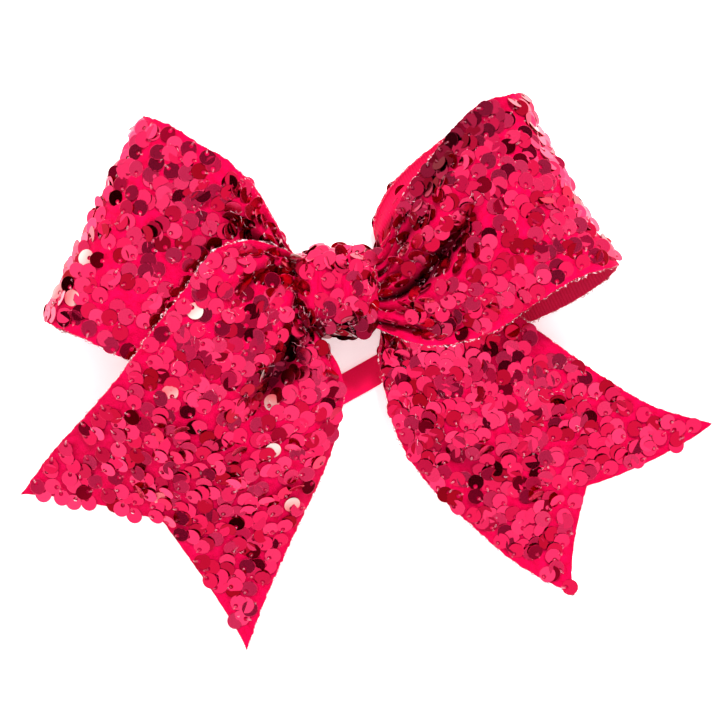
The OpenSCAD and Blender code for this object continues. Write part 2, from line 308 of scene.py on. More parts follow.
right_tail = Span(
    RIGHT_TAIL_LOWER, RIGHT_TAIL_UPPER, TAIL_LENGTH, tail_crown,
    [late_crease(0.12, 0.3, -1.8, 0.07, 0.35, 0.45)], notch=TAIL_NOTCH, cut_bend=(0.75, 1.3), seed=41)


class KnotWrap:
    """The strip that wraps the knot: v runs across it along X, s runs round it from the back over the top."""

    run = 84.0
    seed = 53
    crest = -1
    centre_z = 14.5
    half_height, half_depth = 11.6, 12.8
    roundness = 0.66
    swell = 1.2

    def middle(self, s, v):
        x = KNOT_LEFT + 0.5 + (KNOT_RIGHT - KNOT_LEFT - 1) * v
        swell = self.swell * 4 * v * (1 - v)
        angle = -np.pi / 2 - 2 * np.pi * s
        cos, sin = np.cos(angle), np.sin(angle)
        side = np.abs(2 * v - 1)
        round_it = s * self.run
        pull = np.where(v < 0.5, wander(round_it, self.seed + 2, 0.3), wander(round_it, self.seed + 3, 0.3))
        x = x + 0.9 * pull * side**3
        roll = 2.2 * side**6
        ry = self.half_height + 0.4 * swell - roll
        rz = self.half_depth + np.where(sin > 0, swell, 0) - roll * (sin > -0.5)
        pleats = wander(v * 22 + 2.5 * np.sin(s * 9), self.seed, 0.7)
        wrinkle = 0.8 * pleats * (sin > -0.5) + 0.3 * wander(round_it + v * 9, self.seed + 1, 0.3)
        y = KNOT_Y - (ry + wrinkle) * np.sign(cos) * np.abs(cos) ** self.roundness
        z = self.centre_z + (rz + wrinkle * (sin > -0.7)) * np.sign(sin) * np.abs(sin) ** self.roundness
        return np.stack([x, y, z], axis=-1)

    def depth(self, s, v):
        """How much painted shade the knot gets: 0 on its front and near 1, in patches, on its lower side,
        where the cloth turns under.
        """
        edge = 0.55 + 0.018 * wander(v * 22, self.seed + 6, 0.9)
        patches = 0.75 + 0.25 * wander(v * 22 + s * 20, self.seed + 7, 1.6)
        return np.clip((s - edge) / 0.05, 0, 0.95) * patches * (s < 0.85)

    point = Span.point
    frame_at = Span.frame_at
    normal = Span.normal


class Crossing:
    """The strip gathered into pleats where it crosses the inside of the knot. face is 1 up or -1 down."""

    left = -14.2
    run = 11.4
    width = 16.6
    pleats = 8
    pleat_depth = 1.75

    def __init__(self, z, face, seed):
        self.z = z
        self.face = face
        self.seed = seed

    def middle(self, s, v):
        s, v = np.broadcast_arrays(np.asarray(s, float), np.asarray(v, float))
        sway = 0.25 * wander(s * self.run + v * 9, self.seed, 0.5)
        y = KNOT_Y + self.face * (v - 0.5) * self.width + sway * 4 * v * (1 - v)
        drape = self.pleat_depth * np.cos(2 * np.pi * self.pleats * v + 0.5 * sway)
        return np.stack([self.left + self.run * s, y, self.z + self.face * drape], axis=-1)

    def frame_at(self, s, v):
        """Straight axes, so that the pleats' layers lie beside each other without crossing."""
        ones = np.ones_like(self.middle(s, v))
        return ones * [1, 0, 0], ones * [0, self.face, 0], ones * [0, 0, self.face]

    # Painted shade: the crossings hidden inside the knot are darkened by half the full amount all over
    def depth(self, s, v):
        return np.full(np.broadcast(s, v).shape, 0.5)

    point = Span.point


class Patch:
    """A small flat piece of cloth over a CAD node's box, a little wavy. v runs along X and s along Y."""

    def __init__(self, low, high, turn=0.0, wave=0.04, seed=1):
        self.centre = (low + high) / 2
        self.size = high - low
        self.run = self.size[1]
        self.turn = math.radians(turn)
        self.wave = wave
        self.seed = seed

    def middle(self, s, v):
        s, v = np.broadcast_arrays(np.asarray(s, float), np.asarray(v, float))
        x = (v - 0.5) * self.size[0] * (1 - 0.03 * (2 * s - 1) ** 6)
        y = (s - 0.5) * self.size[1] * (1 - 0.03 * (2 * v - 1) ** 6)
        z = self.wave * wander(x, self.seed, 0.5) * wander(y, self.seed + 1, 0.5)
        cos, sin = math.cos(self.turn), math.sin(self.turn)
        return np.stack([x * cos - y * sin, x * sin + y * cos, z], axis=-1) + self.centre

    def depth(self, s, v):
        return np.zeros(np.broadcast(s, v).shape)

    point = Span.point
    frame_at = Span.frame_at
    normal = Span.normal


knot_wrap = KnotWrap()
CROSSINGS = {
    "front_crossing": Crossing(FRONT_Z, 1, 61),
    "middle_crossing": Crossing(MIDDLE_Z, 1, 63),
    "rear_crossing": Crossing(REAR_Z, -1, 65),
}

# ---------------------------------------------------------------- mesh making


SHARP_ANGLE = math.radians(40)


def new_object(name, points, faces, material, attributes=()):
    """A mesh object from points in millimetres and an array of quads or triangles."""
    mesh = bpy.data.meshes.new(name)
    points = np.asarray(points, float).reshape(-1, 3) * MM
    faces = np.asarray(faces, np.int32)
    corners = faces.shape[1]
    mesh.vertices.add(len(points))
    mesh.vertices.foreach_set("co", points.ravel())
    mesh.loops.add(faces.size)
    mesh.loops.foreach_set("vertex_index", faces.ravel())
    mesh.polygons.add(len(faces))
    mesh.polygons.foreach_set("loop_start", np.arange(0, faces.size, corners, dtype=np.int32))
    mesh.update(calc_edges=True)
    mesh.validate()
    for key, values in attributes:
        values = np.asarray(values, np.float32)
        kind = "FLOAT_VECTOR" if values.ndim == 2 else "FLOAT"
        layer = mesh.attributes.new(key, kind, "POINT")
        layer.data.foreach_set("vector" if values.ndim == 2 else "value", values.ravel())
    obj = bpy.data.objects.new(name, mesh)
    bpy.context.scene.collection.objects.link(obj)
    obj.data.materials.append(material)
    mesh.polygons.foreach_set("use_smooth", np.zeros(len(faces), bool))
    return obj


def shade_smooth(obj):
    """Smooth shading, with edges sharper than SHARP_ANGLE kept."""
    obj.data.polygons.foreach_set("use_smooth", np.ones(len(obj.data.polygons), bool))
    obj.data.set_sharp_from_angle(angle=SHARP_ANGLE)


def grid_faces(rows, cols):
    """Quads of a grid of points."""
    i, j = np.meshgrid(np.arange(rows - 1), np.arange(cols - 1), indexing="ij")
    a = (i * cols + j).ravel()
    return np.stack([a, a + 1, a + cols + 1, a + cols], axis=1)


def rim_loop(rows, cols):
    """The grid's outer points, in order round it."""
    top = np.arange(cols)
    right = np.arange(1, rows) * cols + cols - 1
    bottom = (rows - 1) * cols + np.arange(cols - 2, -1, -1)
    left = np.arange(rows - 2, 0, -1) * cols
    return np.concatenate([top, right, bottom, left])


RAGGED_SCALE = 1.9


def layer_object(name, surface, side, rows, cols, material, ragged=0.0, seed=0, spill=0.0):
    """A closed sheet between two offsets of a surface, its cut edges a little ragged and spilling out."""
    s = np.linspace(0, 1, rows)

    def past_edge(k):
        patches = 2.2 * spill * np.clip(wander(s * surface.run, seed + k + 1, 0.3), 0, 1)
        return (spill + patches + ragged * wander(s * surface.run, seed + k, RAGGED_SCALE)) / STRIP_WIDTH

    lo = -past_edge(0)
    hi = 1 + past_edge(5)
    share = np.linspace(0, 1, cols)
    v = lo[:, None] + (hi - lo)[:, None] * share[None, :]
    cut = ragged * (1 + wander(share * STRIP_WIDTH, seed + 9, RAGGED_SCALE)) / surface.run
    grid_s = s[:, None] * (1 - cut[None, :])
    inner = np.clip(v, 0, 1)
    base = surface.point(grid_s, inner)
    along, across, out = surface.frame_at(grid_s, inner)
    base = base + across * ((v - inner) * STRIP_WIDTH)[..., None]
    low = base + out * side[0]
    high = base + out * side[1]
    faces = grid_faces(rows, cols)
    count = rows * cols
    rim = rim_loop(rows, cols)
    nxt = np.roll(rim, -1)
    sides = np.stack([rim, rim + count, nxt + count, nxt], axis=1)
    faces = np.vstack([faces, faces[:, ::-1] + count, sides])
    flat = np.stack([grid_s * surface.run, v * STRIP_WIDTH, np.zeros_like(v)], axis=-1).reshape(-1, 3)
    # Painted shade: how far each point is darkened, passed on to the materials as the attribute deep
    deep = surface.depth(grid_s, inner).ravel()
    points = np.vstack([low.reshape(-1, 3), high.reshape(-1, 3)])
    values = [("flat", np.vstack([flat, flat])), ("deep", np.tile(deep, 2))]
    obj = new_object(name, points, faces, material, values)
    shade_smooth(obj)
    return obj


# One sequin: its hole is off the centre towards its own X, and its rim is turned down a little
SEQUIN_RADIUS = 2.5
HOLE_RADIUS = 0.7
HOLE_SHIFT = 1.28
SEQUIN_THICKNESS = 0.1
# From a sequin's hole to its far side
SEQUIN_REACH = SEQUIN_RADIUS + HOLE_SHIFT
# No sequin lifts more than this, in radians
MOST_LIFT = 0.7
SEQUIN_STEPS = 20
RIM_WIDTH = 0.1
RIM_DROP = 0.05


def sequin_shape():
    """Points and quads of one disc, lying in its own X and Y."""
    a = np.linspace(0, 2 * np.pi, SEQUIN_STEPS, endpoint=False)
    ring = np.stack([np.cos(a), np.sin(a)], axis=1)
    hole = ring * HOLE_RADIUS + [HOLE_SHIFT, 0]

    def level(xy, z):
        return np.column_stack([xy, np.full(len(xy), z)])

    points = np.vstack([
        level(hole, 0), level(ring * (SEQUIN_RADIUS - RIM_WIDTH), 0), level(ring * SEQUIN_RADIUS, -RIM_DROP),
        level(hole, -SEQUIN_THICKNESS), level(ring * SEQUIN_RADIUS, -RIM_DROP - SEQUIN_THICKNESS),
    ])
    k = np.arange(SEQUIN_STEPS)
    n = np.roll(k, -1)

    def band(lower, upper):
        return np.stack([lower + k, upper + k, upper + n, lower + n], axis=1)

    m = SEQUIN_STEPS
    faces = np.vstack([band(0, m), band(m, 2 * m), band(2 * m, 4 * m), band(4 * m, 3 * m), band(3 * m, 0)])
    return points, faces


def place_shapes(shape, faces, origins, axes, scale=1.0):
    """Copies of a small shape at many origins. axes holds each copy's X, Y and Z directions."""
    count = len(origins)
    points = origins[:, None, :] + np.einsum("pk,nkd->npd", shape * scale, axes)
    offset = (np.arange(count) * len(shape))[:, None, None]
    return points.reshape(-1, 3), (faces[None] + offset).reshape(-1, faces.shape[1])


# This share of the seats are empty
MISSING_SHARE = 0.08


def scatter(surface, pitch, seed, s_range=(0.0, 1.0), margin=1.5, width=STRIP_WIDTH, crowd=None):
    """Sequin seats on the strip: a loose hexagonal layout in its flat pattern, thinned in places."""
    r = np.random.default_rng(seed)
    length = surface.run
    rows = np.arange(s_range[0] * length + margin, s_range[1] * length - margin, pitch * 0.87)
    seats = []
    for k, row in enumerate(rows):
        ts = np.arange(margin + (pitch / 2 if k % 2 else 0), width - margin, pitch)
        seats += [(row, t) for t in ts]
    seats = np.array(seats, float)
    seats += r.normal(0, 0.2 * pitch, seats.shape)
    seats[:, 1] = np.clip(seats[:, 1], margin * 0.6, width - margin * 0.6)
    keep = r.random(len(seats)) > MISSING_SHARE
    s, v = seats[:, 0] / length, seats[:, 1] / width
    keep &= (s > s_range[0]) & (s < s_range[1])
    if crowd is not None:
        keep &= r.random(len(seats)) < crowd(s)
    return s[keep], v[keep]


# Within this share of the width from a cut edge, a sequin's hole is towards the edge
EDGE_SHARE = 0.045
# These shares of the sequins are turned any way, and stand up steeply
TURNED_SHARE = 0.2
STEEP_SHARE = 0.1
# Lowest height of a sequin or thread over the table
TABLE_GAP = 0.04


def sequin_axes(surface, s, v, seed):
    """Each sequin's own axes: turned any way in the cloth's plane and lifted at its free side."""
    r = np.random.default_rng(seed)
    along, across, out = surface.frame_at(s, v)
    sweep = wander(s * surface.run, surface.seed + 7, 0.06) + wander(v * STRIP_WIDTH, surface.seed + 8, 0.07)
    turn = 2.2 * sweep + r.normal(0, 0.55, len(s))
    turn = turn + np.where(r.random(len(s)) < TURNED_SHARE, r.uniform(0, 6.28, len(s)), 0)
    turn = np.where(v < EDGE_SHARE, r.uniform(-2.7, -0.4, len(s)), turn)
    turn = np.where(v > 1 - EDGE_SHARE, r.uniform(0.4, 2.7, len(s)), turn)[:, None]
    x = along * np.cos(turn) + across * np.sin(turn)
    y = np.cross(out, x)
    stray = np.where(r.random(len(s)) < STEEP_SHARE, r.uniform(8, 35, len(s)), 0)
    crest = 20 * np.exp(-((s - surface.crest) / 0.05) ** 2) * r.random(len(s))
    lift = np.radians(np.abs(r.normal(8, 3.5, len(s))) + stray + crest)
    room = np.arcsin(np.clip((surface.middle(s, v)[:, 2] - 1) / SEQUIN_REACH, 0.02, MOST_LIFT))
    room = np.where(out[:, 2] < -0.2, room, MOST_LIFT)
    lift = np.minimum(lift, room)
    roll = np.clip(np.radians(r.normal(0, 4, len(s))), -room, room)
    lift, roll = lift[:, None], roll[:, None]
    x2 = x * np.cos(lift) - out * np.sin(lift)
    z2 = out * np.cos(lift) + x * np.sin(lift)
    y3 = y * np.cos(roll) + z2 * np.sin(roll)
    z3 = z2 * np.cos(roll) - y * np.sin(roll)
    return np.stack([x2, y3, z3], axis=1), r


def sequin_tones(surface, s, v, shape, painted_glint_share, r):
    """Each corner's tone: 0 dark to 0.9 bright, and above that painted highlights, the few discs coloured
    salmon to cream for glints of the light, lighter to one side of each disc.
    """
    along_wave = wander(s * surface.run, surface.seed + 31, 0.13)
    patch = along_wave * wander(v * STRIP_WIDTH, surface.seed + 32, 0.13)
    tone = np.clip(r.uniform(0.02, 0.92, len(s)) + 0.5 * patch, 0, 0.9)
    # Painted highlights: a share of the discs, most near the middle of the run, get glint tones across them
    lit = r.random(len(s)) < painted_glint_share * np.exp(-((s - 0.45) / 0.3) ** 2)
    across_disc = shape[:, 0] / SEQUIN_RADIUS
    slope = r.choice([-1, 1], len(s))
    glint_tone = 0.968 + r.uniform(-0.015, 0.015, len(s))
    glint_tone = glint_tone[:, None] + 0.016 * slope[:, None] * across_disc[None, :]
    return np.where(lit[:, None], glint_tone, tone[:, None]).ravel()


def raise_to_table(points, size):
    """Move whole small shapes up so that none goes through the table."""
    groups = points.reshape(-1, size, 3)
    groups[:, :, 2] += np.maximum(TABLE_GAP - groups[:, :, 2].min(axis=1), 0)[:, None]
    return groups.reshape(-1, 3)


def sequin_objects(name, surface, s, v, seed, painted_glint_share=0.0):
    """The sequins of one span and the clear threads that hold them, each as one object."""
    axes, r = sequin_axes(surface, s, v, seed)
    hole_seat = surface.point(s, v, FACE[1] + 0.15 + r.uniform(0, 0.35, len(s)))
    centre = hole_seat - axes[:, 0] * HOLE_SHIFT
    shape, faces = sequin_shape()
    points, quads = place_shapes(shape, faces, centre, axes, r.uniform(0.97, 1.03))
    points = raise_to_table(points, len(shape))
    tone = sequin_tones(surface, s, v, shape, painted_glint_share, r)
    # Painted shade for each sequin in folds and on the knot's lower side, passed on as the attribute deep
    deep = np.repeat(surface.depth(s, v), len(shape))
    values = [("tone", tone), ("deep", deep)]
    sequins = new_object(name + "_sequins", points, quads, MATERIAL["sequin"], values)
    thread_shape, thread_faces = stitch_shape()
    points, quads = place_shapes(thread_shape, thread_faces, hole_seat, axes)
    points = raise_to_table(points, len(thread_shape))
    threads = new_object(name + "_threads", points, quads, MATERIAL["thread"])
    shade_smooth(threads)
    return sequins, threads


def gather_seats(surface, count, seed):
    """Places on a span, most of them in the gathers at the knot."""
    r = np.random.default_rng(seed)
    s = r.beta(1.0, 3.2, count) * 0.9 + 0.03
    if surface.both_ends:
        s = np.where(r.random(count) < 0.5, s * 0.5, 1 - s * 0.5)
    return s, r.uniform(0.03, 0.97, count)


def knot_seats(count, seed):
    """Places on the knot's lower side and down its right edge."""
    r = np.random.default_rng(seed)
    right = r.random(count) < 0.4
    s = np.where(right, r.uniform(0.42, 0.7, count), r.uniform(0.54, 0.74, count))
    return s, np.where(right, r.uniform(0.86, 0.99, count), r.uniform(0.02, 0.98, count))


LOOSE_THREAD_RADIUS = 0.03
STITCH_RADIUS = 0.042


def stray_threads(name, surface, s, v, seed):
    """Loose clear threads lying on the cloth."""
    r = np.random.default_rng(seed)
    count = len(s)
    along, across, out = surface.frame_at(s, v)
    turn = r.normal(0, 0.9, count)[:, None]
    x = along * np.cos(turn) + across * np.sin(turn)
    axes = np.stack([x, np.cross(out, x), out], axis=1) * r.uniform(0.6, 1.7, count)[:, None, None]
    path = [(-1.2, 0, -0.1), (-0.5, 0.15, 0.35), (0.4, -0.1, 0.45), (1.2, 0.1, -0.1)]
    shape, faces = strand(path, LOOSE_THREAD_RADIUS)
    seats = surface.point(s, v, FACE[1] + r.uniform(0.1, 0.7, count))
    points, quads = place_shapes(shape, faces, seats, axes)
    points = raise_to_table(points, len(shape))
    threads = new_object(name + "_stray_threads", points, quads, MATERIAL["thread"])
    shade_smooth(threads)
    return threads


def strand(path, radius):
    """A thin four-sided tube along a few points, lying near the X axis."""
    a = np.linspace(0, 2 * np.pi, 4, endpoint=False)
    section = np.stack([np.zeros(4), np.cos(a), np.sin(a)], axis=1) * radius
    points = np.array(path, float)[:, None, :] + section
    i, k = np.meshgrid(np.arange(len(path) - 1), np.arange(4), indexing="ij")
    n = (k + 1) % 4
    faces = np.stack([4 * i + k, 4 * i + n, 4 * i + 4 + n, 4 * i + 4 + k], axis=-1).reshape(-1, 4)
    last = 4 * (len(path) - 1)
    ends = [[3, 2, 1, 0], [last, last + 1, last + 2, last + 3]]
    return points.reshape(-1, 3), np.vstack([faces, ends])


def stitch_shape():
    """Two clear strands that come up through the hole, cross the near rim and go down into the cloth."""
    path = np.array([(0.0, 0, -0.35), (0.15, 0, 0.1), (0.8, 0, 0.16), (1.4, 0, 0.0), (1.9, 0, -0.4)])
    left, faces = strand(path + [0, -0.15, 0], STITCH_RADIUS)
    right, more = strand(path * [0.9, 1, 1] + [0, 0.17, 0], STITCH_RADIUS)
    return np.vstack([left, right]), np.vstack([faces, more + len(left)])


# ---------------------------------------------------------------- materials


class Nodes:
    """A short way to build one material's nodes."""

    def __init__(self, name):
        self.material = bpy.data.materials.new(name)
        self.material.use_nodes = True
        self.tree = self.material.node_tree
        self.shader = self.tree.nodes["Principled BSDF"]

    def add(self, kind, **values):
        node = self.tree.nodes.new(kind)
        for key, value in values.items():
            if key in node.inputs:
                node.inputs[key].default_value = value
            else:
                setattr(node, key, value)
        return node

    def link(self, out, into):
        self.tree.links.new(out, into)

    def set(self, **values):
        for key, value in values.items():
            self.shader.inputs[key.replace("_", " ")].default_value = value

    def flat(self):
        return self.add("ShaderNodeAttribute", attribute_name="flat").outputs["Vector"]

    def noise(self, vector, scale, detail=3.0):
        node = self.add("ShaderNodeTexNoise", Scale=scale, Detail=detail)
        self.link(vector, node.inputs["Vector"])
        return node.outputs["Fac"]

    def ramp(self, value, stops):
        node = self.add("ShaderNodeValToRGB")
        while len(node.color_ramp.elements) < len(stops):
            node.color_ramp.elements.new(0.5)
        for element, (place, colour) in zip(node.color_ramp.elements, stops):
            element.position = place
            element.color = (*colour, 1)
        self.link(value, node.inputs["Fac"])
        return node.outputs["Color"]

    def paint_fold_shade(self, colour, amount):
        """Use colour as the base colour, with painted shade that darkens it towards the bottom of folds and
        on the knot's lower side.
        """
        deep = self.add("ShaderNodeAttribute", attribute_name="deep").outputs["Fac"]
        mix = self.add("ShaderNodeMix", data_type="RGBA", blend_type="MULTIPLY")
        self.link(self.math("MULTIPLY", deep, amount), mix.inputs["Factor"])
        self.link(colour, mix.inputs[6])
        mix.inputs[7].default_value = (0.06, 0.02, 0.04, 1)
        self.link(mix.outputs[2], self.shader.inputs["Base Color"])

    def bump(self, height, strength, distance):
        node = self.add("ShaderNodeBump", Strength=strength, Distance=distance)
        self.link(height, node.inputs["Height"])
        self.link(node.outputs["Normal"], self.shader.inputs["Normal"])

    def math(self, operation, a, b):
        node = self.add("ShaderNodeMath", operation=operation)
        for socket, value in zip(node.inputs, (a, b)):
            if isinstance(value, (int, float)):
                socket.default_value = value
            else:
                self.link(value, socket)
        return node.outputs["Value"]


def sequin_material():
    """Glossy coloured plastic. The palest tones are painted highlights in salmon and cream, not metallic,
    standing for glints of the light.
    """
    n = Nodes("sequin_plastic")
    tone = n.add("ShaderNodeAttribute", attribute_name="tone").outputs["Fac"]
    # Tones above 0.9 are painted highlights in salmon and cream
    colour = n.ramp(tone, [
        (0.0, (0.22, 0.0, 0.006)), (0.14, (0.4, 0.002, 0.026)), (0.34, (0.56, 0.008, 0.06)),
        (0.9, (0.66, 0.026, 0.1)), (0.955, (0.62, 0.1, 0.11)), (0.985, (0.56, 0.44, 0.4)),
    ])
    # Painted shade on the sequins in folds and on the knot's lower side
    n.paint_fold_shade(colour, 0.8)
    rough = n.math("MULTIPLY_ADD", tone, 0.12)
    rough.node.inputs[2].default_value = 0.1
    n.link(rough, n.shader.inputs["Roughness"])
    n.link(n.math("LESS_THAN", tone, 0.93), n.shader.inputs["Metallic"])
    n.set(Coat_Weight=0.04, Coat_Roughness=0.05)
    return n.material


def cloth_material():
    """Dull mesh cloth with a fuzzy surface."""
    n = Nodes("sequin_mesh_cloth")
    flat = n.flat()
    fuzz = n.noise(flat, 2.6, 6)
    blotch = n.noise(flat, 0.35, 3)
    mix = n.math("MULTIPLY", fuzz, blotch)
    colour = n.ramp(mix, [(0.12, (0.38, 0.0, 0.022)), (0.25, (0.53, 0.0, 0.042)), (0.42, (0.6, 0.001, 0.06))])
    # Painted shade on the cloth in folds, inside the knot and on its lower side
    n.paint_fold_shade(colour, 0.9)
    n.set(Roughness=0.85, Sheen_Weight=0.05, Sheen_Roughness=0.5, Sheen_Tint=(1.0, 0.1, 0.3, 1))
    n.shader.inputs["Specular IOR Level"].default_value = 0.05
    n.bump(fuzz, 0.6, 0.0006)
    return n.material


def grosgrain_material():
    """Ribbed ribbon, its ribs running across the strip."""
    n = Nodes("grosgrain_lining")
    flat = n.flat()
    wave = n.add("ShaderNodeTexWave", Scale=0.34, Distortion=0.25, Detail=2.0, bands_direction="X")
    n.link(flat, wave.inputs["Vector"])
    rib = wave.outputs["Fac"]
    grain = n.noise(flat, 1.8, 5)
    mix = n.math("MULTIPLY_ADD", rib, 0.5)
    n.link(n.math("MULTIPLY", grain, 0.5), mix.node.inputs[2])
    stops = [(0.15, (0.46, 0.0, 0.035)), (0.5, (0.52, 0.001, 0.042)), (0.8, (0.56, 0.002, 0.05))]
    colour = n.ramp(mix, stops)
    n.link(colour, n.shader.inputs["Base Color"])
    n.set(Roughness=0.7, Sheen_Weight=0.05)
    n.shader.inputs["Specular IOR Level"].default_value = 0.15
    n.bump(rib, 0.25, 0.0003)
    return n.material


def film_material():
    """Crinkled clear film, mostly see-through, with painted whitish glints in its colour where it shows."""
    n = Nodes("bonding_film")
    flat = n.flat()
    crinkle = n.noise(flat, 1.5, 4)
    # Painted highlights: whitish glints in the colour, shown where the film is opaque
    colour = n.ramp(crinkle, [(0.35, (0.5, 0.02, 0.08)), (0.62, (0.9, 0.6, 0.66))])
    n.link(colour, n.shader.inputs["Base Color"])
    alpha = n.ramp(crinkle, [(0.5, (0.06, 0.06, 0.06)), (0.62, (0.85, 0.85, 0.85))])
    n.link(alpha, n.shader.inputs["Alpha"])
    n.set(Roughness=0.08, Coat_Weight=0.8, Coat_Roughness=0.03)
    n.bump(crinkle, 0.8, 0.0006)
    return n.material


def thread_material():
    """Clear thread, with painted whitish glints in its colour."""
    n = Nodes("clear_thread")
    where = n.add("ShaderNodeTexCoord").outputs["Object"]
    spot = n.noise(where, 900, 2)
    # Painted highlights: bright spots in the thread colour
    colour = n.ramp(spot, [(0.47, (0.55, 0.03, 0.09)), (0.66, (0.88, 0.6, 0.66))])
    n.link(colour, n.shader.inputs["Base Color"])
    n.set(Roughness=0.15, Coat_Weight=0.5)
    return n.material


def elastic_material():
    """Flat elastic, ribbed along its length."""
    n = Nodes("hair_tie_elastic")
    flat = n.flat()
    wave = n.add("ShaderNodeTexWave", Scale=1.1, Distortion=0.1, Detail=1.0, bands_direction="Y")
    n.link(flat, wave.inputs["Vector"])
    grain = n.noise(flat, 2.2, 4)
    mix = n.math("MULTIPLY_ADD", wave.outputs["Fac"], 0.3)
    n.link(n.math("MULTIPLY", grain, 0.7), mix.node.inputs[2])
    colour = n.ramp(mix, [(0.2, (0.82, 0.0, 0.06)), (0.75, (0.95, 0.0, 0.09))])
    n.link(colour, n.shader.inputs["Base Color"])
    n.set(Roughness=0.6, Sheen_Weight=0.05)
    n.shader.inputs["Specular IOR Level"].default_value = 0.1
    n.bump(wave.outputs["Fac"], 0.15, 0.0002)
    return n.material


def plastic_material(name, low, high, rough):
    """Cloudy plastic between two colours."""
    n = Nodes(name)
    where = n.add("ShaderNodeTexCoord").outputs["Object"]
    cloud = n.noise(where, 220, 4)
    colour = n.ramp(cloud, [(0.35, low), (0.65, high)])
    n.link(colour, n.shader.inputs["Base Color"])
    n.set(Roughness=rough)
    n.bump(cloud, 0.1, 0.0003)
    return n.material


def table_material():
    """Plain white table, a little lit by itself."""
    n = Nodes("white_table")
    where = n.add("ShaderNodeTexCoord").outputs["Object"]
    cloud = n.noise(where, 3, 2)
    colour = n.ramp(cloud, [(0.3, (0.93, 0.93, 0.93)), (0.7, (0.95, 0.95, 0.95))])
    n.link(colour, n.shader.inputs["Base Color"])
    n.set(Roughness=0.8, Emission_Color=(1.0, 0.93, 0.94, 1), Emission_Strength=0.45)
    return n.material


MATERIAL = {
    "sequin": sequin_material(),
    "cloth": cloth_material(),
    "grosgrain": grosgrain_material(),
    "film": film_material(),
    "thread": thread_material(),
    "elastic": elastic_material(),
    "nylon": plastic_material("strap_nylon", (0.85, 0.85, 0.83), (0.93, 0.93, 0.92), 0.45),
    "glue": plastic_material("hot_glue", (0.82, 0.78, 0.66), (0.92, 0.9, 0.8), 0.3),
    "table": table_material(),
}

# ---------------------------------------------------------------- the strip's spans


def seat_share(surface):
    """Chance of a seat being filled: fewer where the cloth is drawn together at the knot."""
    def share(s):
        near = np.minimum(s, 1 - s) if surface.both_ends else s
        return np.clip(0.25 + near / 0.12, 0, 1)
    return share


SPAN_COLS = 91
SEQUIN_PITCH = 4.45
# Loose threads on each span
LOOSE_THREADS = 130
# Names paired with a strip's face, film, lining, sequins, stitches and loose threads, not put to use
SLOTS = ["sequin_cloth", "bonding_film", "grosgrain", "sequin_cloth", "bonding_film", "bonding_film"]


def build_span(name, surface, rows, seed, s_range, painted_glint_share):
    """One span's face cloth, bonding film, lining, sequins and threads, in place of its hidden CAD nodes.

    painted_glint_share is the share of discs given painted highlights.
    """
    face = layer_object(name + "_face_cloth", surface, FACE, rows, SPAN_COLS, MATERIAL["cloth"],
                        ragged=0.4, seed=seed)
    web = layer_object(name + "_film", surface, WEB, rows, SPAN_COLS, MATERIAL["film"],
                       ragged=0.85, seed=seed + 1, spill=0.35)
    lining = layer_object(name + "_lining_cloth", surface, LINING, rows, SPAN_COLS, MATERIAL["grosgrain"],
                          ragged=0.15, seed=seed + 2)
    s, v = scatter(surface, SEQUIN_PITCH, seed + 3, s_range, crowd=seat_share(surface))
    sequins, threads = sequin_objects(name, surface, s, v, seed + 4, painted_glint_share=painted_glint_share)
    strays = stray_threads(name, surface, *gather_seats(surface, LOOSE_THREADS, seed + 6), seed + 7)
    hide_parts(name + "_face")
    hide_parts(name + "_web")
    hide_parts(name + "_lining")
    for obj, slot in zip((face, web, lining, sequins, threads, strays), SLOTS):
        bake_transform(obj)


LOOP_ROWS, TAIL_ROWS = 241, 181
# Shares of the run that have sequins: a loop's ends and a tail's root are inside the knot
LOOP_SEQUINS = (0.03, 0.97)
TAIL_SEQUINS = (0.05, 1.0)

# The last number of each is the share of discs with painted highlights, most of them on the left tail
build_span("left_loop", left_loop,
           rows=LOOP_ROWS, seed=100, s_range=LOOP_SEQUINS, painted_glint_share=0.012)
build_span("right_loop", right_loop,
           rows=LOOP_ROWS, seed=200, s_range=LOOP_SEQUINS, painted_glint_share=0.006)
build_span("left_tail", left_tail,
           rows=TAIL_ROWS, seed=300, s_range=TAIL_SEQUINS, painted_glint_share=0.045)
build_span("right_tail", right_tail,
           rows=TAIL_ROWS, seed=400, s_range=TAIL_SEQUINS, painted_glint_share=0.0)

# ---------------------------------------------------------------- the knot


KNOT_GRID = (141, 33)
KNOT_PITCH = 3.5
# Share of the way round the knot that has sequins: none on the table side
KNOT_SEQUINS = (0.1, 0.9)


def build_knot():
    """The wrap's three layers, its sequins and their threads."""
    face = layer_object("knot_face_cloth", knot_wrap, FACE, *KNOT_GRID, MATERIAL["cloth"], seed=501)
    web = layer_object("knot_film", knot_wrap, WEB, *KNOT_GRID, MATERIAL["film"], seed=502)
    lining = layer_object("knot_lining_cloth", knot_wrap, LINING, *KNOT_GRID, MATERIAL["grosgrain"], seed=503)
    s, v = scatter(knot_wrap, KNOT_PITCH, 504, KNOT_SEQUINS, margin=1.2, width=KNOT_RIGHT - KNOT_LEFT)
    sequins, threads = sequin_objects("knot", knot_wrap, s, v, 505)
    strays = stray_threads("knot", knot_wrap, *knot_seats(70, 506), 507)
    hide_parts("knot_face")
    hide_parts("knot_web")
    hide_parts("knot_lining")
    for obj, slot in zip((face, web, lining, sequins, threads, strays), SLOTS):
        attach(obj, "knot")


CROSSING_GRID = (13, 241)


def build_crossing(name, surface, seed):
    """One gathered crossing of the strip, its face cloth and its lining."""
    face = layer_object(name + "_face_cloth", surface, FACE, *CROSSING_GRID, MATERIAL["cloth"], seed=seed)
    lining = layer_object(name + "_lining_cloth", surface, LINING, *CROSSING_GRID, MATERIAL["grosgrain"],
                          seed=seed)
    kept = ((face, name + "_face", "sequin_cloth"), (lining, name + "_lining", "grosgrain"))
    for obj, node, slot in kept:
        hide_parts(node)
        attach(obj, "knot")


